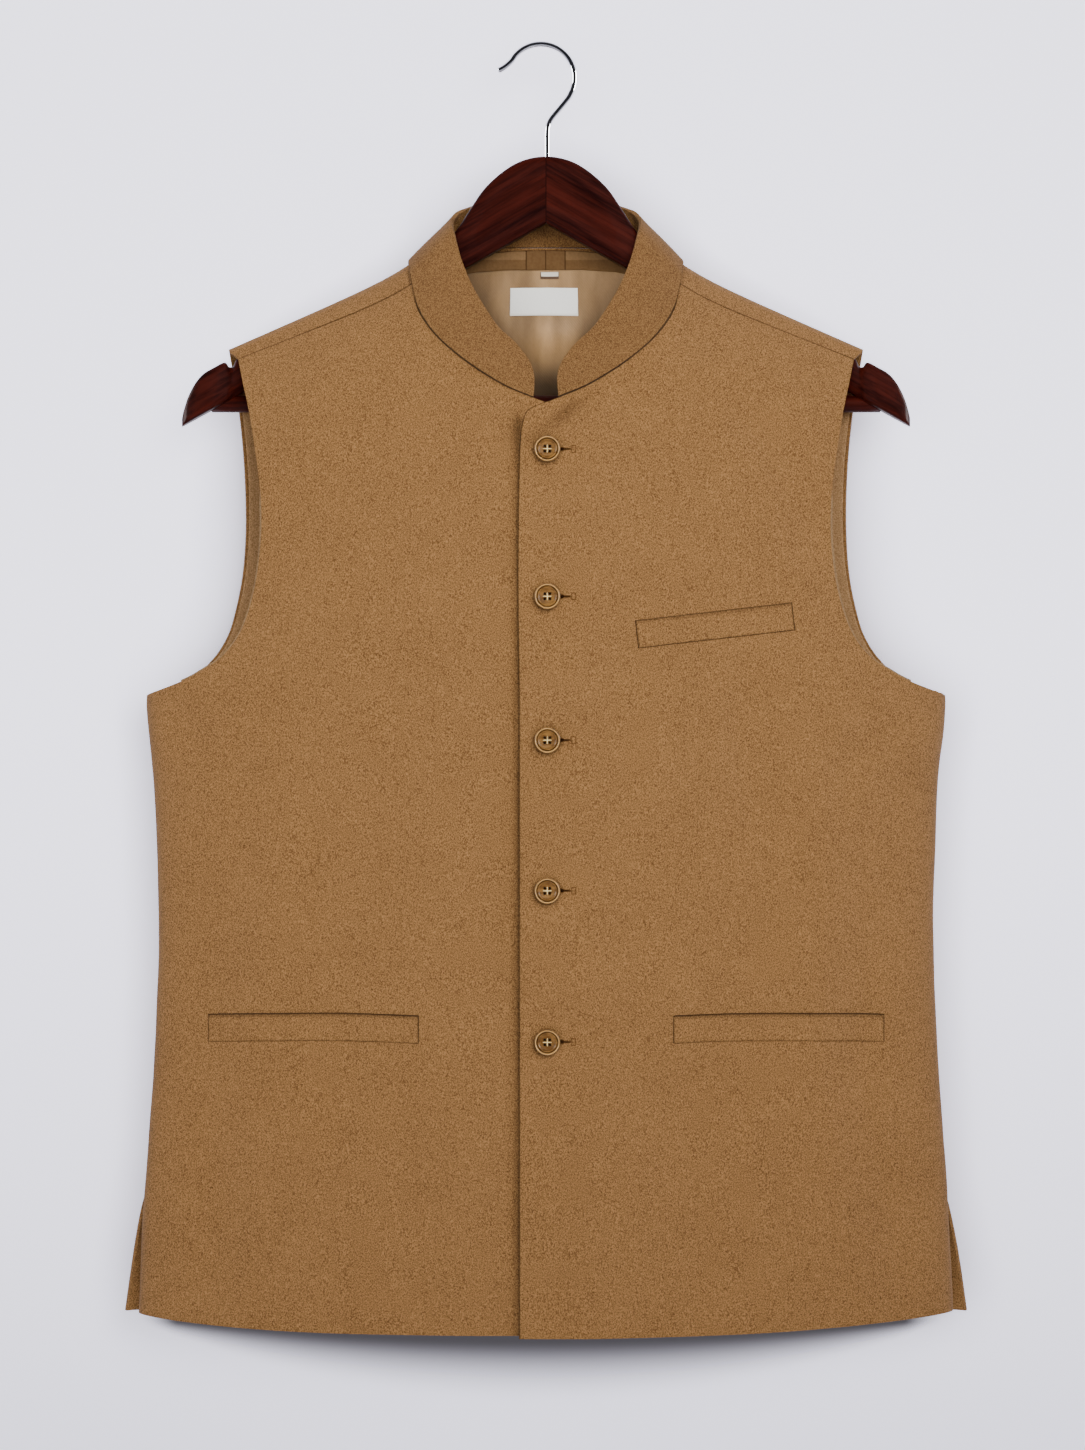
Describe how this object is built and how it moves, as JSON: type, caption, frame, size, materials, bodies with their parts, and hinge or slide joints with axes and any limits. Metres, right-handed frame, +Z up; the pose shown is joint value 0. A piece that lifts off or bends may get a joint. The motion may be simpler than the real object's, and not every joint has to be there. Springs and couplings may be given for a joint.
{
  "type": "nehru jacket on a clothes hanger",
  "caption": "Sleeveless band-collar jacket, buttoned at the front, on a contoured wooden hanger with a trouser bar and a wire hook.",
  "frame": {"origin": "the hook's seat: the inside top of the wire hook's crown, where a rail carries the hanger", "axes": "+Z up, -Y out of the jacket's front, +X towards the wearer's left, along the hanger's arms"},
  "size_m": [0.5384, 0.085, 0.822],
  "materials": {
    "flannel": "camel wool flannel with a short nap",
    "facing_cloth": "darker suede-like facing cloth",
    "satin": "taupe lining satin",
    "ribbon": "bare woven ribbon",
    "horn": "tan horn-like resin, polished rim",
    "mahogany": "dark red-brown lacquered wood",
    "wire": "bright plated wire"
  },
  "bodies": {
    "root": {"front_left": "flannel", "front_right": "flannel", "back": "flannel", "collar": "flannel", "chest_welt": "flannel", "pocket_welt_left": "flannel", "pocket_welt_right": "flannel", "neck_facing": "facing_cloth", "lining_back": "satin", "lining_front_left": "satin", "lining_front_right": "satin", "neck_label": "ribbon", "size_tab": "ribbon", "button_1": "horn", "button_2": "horn", "button_3": "horn", "button_4": "horn", "button_5": "horn", "hanger_body": "mahogany", "trouser_bar": "mahogany", "hook": "wire"}
  },
  "joints": []
}
